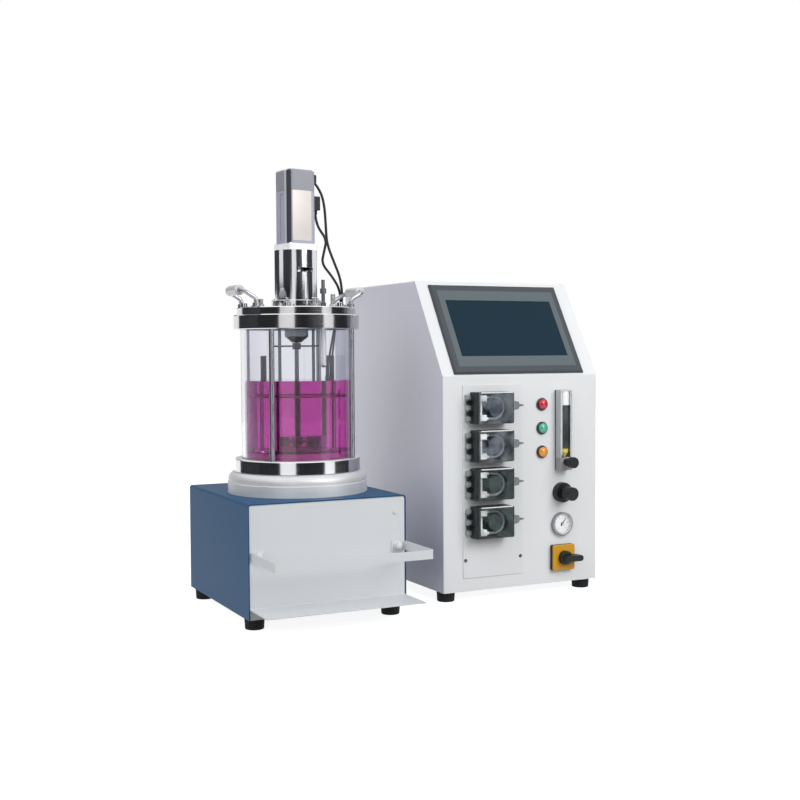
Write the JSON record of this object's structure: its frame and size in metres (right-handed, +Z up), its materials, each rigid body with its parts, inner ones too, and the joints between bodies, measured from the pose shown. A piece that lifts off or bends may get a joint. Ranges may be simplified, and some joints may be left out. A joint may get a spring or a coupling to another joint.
{
  "type": "bench bioreactor",
  "caption": "Stirred glass bioreactor vessel with a top drive on a low base station, cabled to a sloping control cabinet with pumps, flow meter, gauge and switch.",
  "frame": {"origin": "middle of the footprint of both units, on the floor", "axes": "+Z up, the control panel faces -Y, the vessel stands on the -X side"},
  "size_m": [0.763, 0.7072, 0.8265],
  "materials": {
    "blue_cover": "satin",
    "grey_panel": "satin",
    "rail_strip": "satin",
    "black_rubber": "matte",
    "satin_steel": "satin",
    "polished_steel": "polished",
    "clear_glass": "polished",
    "screen_face": "polished",
    "grip_plastic": "gloss",
    "broth": "clear",
    "motor_case": "satin",
    "coupling_metal": "satin",
    "black_cable": "satin",
    "cabinet_paint": "satin",
    "bezel_plastic": "matte",
    "pump_plate": "satin",
    "pump_body": "satin",
    "rotor_plastic": "satin",
    "smoky_cover": "polished",
    "soft_tube": "satin",
    "red_lens": "gloss",
    "green_lens": "gloss",
    "amber_lens": "gloss",
    "meter_metal": "satin",
    "float_yellow": "gloss",
    "black_plastic": "satin",
    "gauge_white": "satin",
    "needle_black": "matte",
    "plate_yellow": "satin"
  },
  "bodies": {
    "frame": {"station_cover": "blue_cover", "station_front_panel": "grey_panel", "station_chassis": "grey_panel", "bottle_rail": "rail_strip", "rubber_feet": "black_rubber", "vessel_gaskets": "black_rubber", "heating_dais": "satin_steel", "bottom_flange": "polished_steel", "top_ring": "polished_steel", "tie_rods": "polished_steel", "lid_plate": "polished_steel", "lid_screws": "polished_steel", "handle_bails": "polished_steel", "seal_housing": "polished_steel", "baffle_cage": "polished_steel", "dip_tubes": "polished_steel", "lid_ports": "polished_steel", "coupling_housing": "polished_steel", "vessel_glass": "clear_glass", "flowmeter_tube": "clear_glass", "screen_glass": "screen_face", "handle_grips": "grip_plastic", "foam_probe": "grip_plastic", "culture_broth": "broth", "drive_motor": "motor_case", "motor_cable": "black_cable", "encoder_cable": "black_cable", "motor_connectors": "black_cable", "rear_fittings": "black_cable", "cabinet_cover": "cabinet_paint", "cabinet_fascia": "cabinet_paint", "cabinet_chassis": "cabinet_paint", "screen_bezel": "bezel_plastic", "pump_panel": "pump_plate", "pump_heads": "pump_body", "pump_tubes": "soft_tube", "lamp_red": "red_lens", "lamp_green": "green_lens", "lamp_amber": "amber_lens", "flowmeter_frame": "meter_metal", "regulator_body": "meter_metal", "gauge_case": "gauge_white", "switch_plate": "plate_yellow"},
    "stirrer": {"shaft_coupling": "coupling_metal", "stirrer_shaft": "polished_steel", "impeller": "polished_steel", "foam_breaker": "polished_steel"},
    "rotor_1": {"pump_rotor_1": "rotor_plastic"},
    "cover_1": {"pump_cover_1": "smoky_cover"},
    "rotor_2": {"pump_rotor_2": "rotor_plastic"},
    "cover_2": {"pump_cover_2": "smoky_cover"},
    "rotor_3": {"pump_rotor_3": "rotor_plastic"},
    "cover_3": {"pump_cover_3": "smoky_cover"},
    "rotor_4": {"pump_rotor_4": "rotor_plastic"},
    "cover_4": {"pump_cover_4": "smoky_cover"},
    "float": {"flowmeter_float": "float_yellow"},
    "meter_valve": {"flowmeter_knob": "black_plastic"},
    "regulator_dial": {"regulator_knob": "black_plastic"},
    "needle": {"gauge_needle": "needle_black"},
    "switch_lever": {"switch_handle": "black_plastic"}
  },
  "joints": [
    {"name": "stirrer_spin", "type": "hinge", "parent": "frame", "child": "stirrer", "pos_m": [-0.2255, -0.0455, 0.5], "axis": [0, 0, 1], "continuous": true},
    {"name": "pump_rotor_spin_1", "type": "hinge", "parent": "frame", "child": "rotor_1", "pos_m": [0.1265, -0.1565, 0.3763], "axis": [0, -1, 0], "continuous": true},
    {"name": "pump_cover_swing_1", "type": "hinge", "parent": "frame", "child": "cover_1", "pos_m": [0.0785, -0.1645, 0.3763], "axis": [0, 0, -1], "range_deg": [0, 105]},
    {"name": "pump_rotor_spin_2", "type": "hinge", "parent": "frame", "child": "rotor_2", "pos_m": [0.1265, -0.1565, 0.3027], "axis": [0, -1, 0], "continuous": true},
    {"name": "pump_cover_swing_2", "type": "hinge", "parent": "frame", "child": "cover_2", "pos_m": [0.0785, -0.1645, 0.3027], "axis": [0, 0, -1], "range_deg": [0, 105]},
    {"name": "pump_rotor_spin_3", "type": "hinge", "parent": "frame", "child": "rotor_3", "pos_m": [0.1265, -0.1565, 0.2291], "axis": [0, -1, 0], "continuous": true},
    {"name": "pump_cover_swing_3", "type": "hinge", "parent": "frame", "child": "cover_3", "pos_m": [0.0785, -0.1645, 0.2291], "axis": [0, 0, -1], "range_deg": [0, 105]},
    {"name": "pump_rotor_spin_4", "type": "hinge", "parent": "frame", "child": "rotor_4", "pos_m": [0.1265, -0.1565, 0.1555], "axis": [0, -1, 0], "continuous": true},
    {"name": "pump_cover_swing_4", "type": "hinge", "parent": "frame", "child": "cover_4", "pos_m": [0.0785, -0.1645, 0.1555], "axis": [0, 0, -1], "range_deg": [0, 105]},
    {"name": "float_rise", "type": "slide", "parent": "frame", "child": "float", "axis": [0, 0, 1], "range_m": [0, 0.086]},
    {"name": "meter_valve_turn", "type": "hinge", "parent": "frame", "child": "meter_valve", "pos_m": [0.2965, -0.199, 0.264], "axis": [0, -1, 0], "range_deg": [0, 1080]},
    {"name": "regulator_turn", "type": "hinge", "parent": "frame", "child": "regulator_dial", "pos_m": [0.2965, -0.18, 0.2015], "axis": [0, -1, 0], "range_deg": [0, 1440]},
    {"name": "needle_sweep", "type": "hinge", "parent": "frame", "child": "needle", "pos_m": [0.2965, -0.1615, 0.138], "axis": [0, 1, 0], "range_deg": [-173, 97]},
    {"name": "switch_turn", "type": "hinge", "parent": "frame", "child": "switch_lever", "pos_m": [0.2965, -0.1685, 0.071], "axis": [0, -1, 0], "range_deg": [0, 90]}
  ]
}
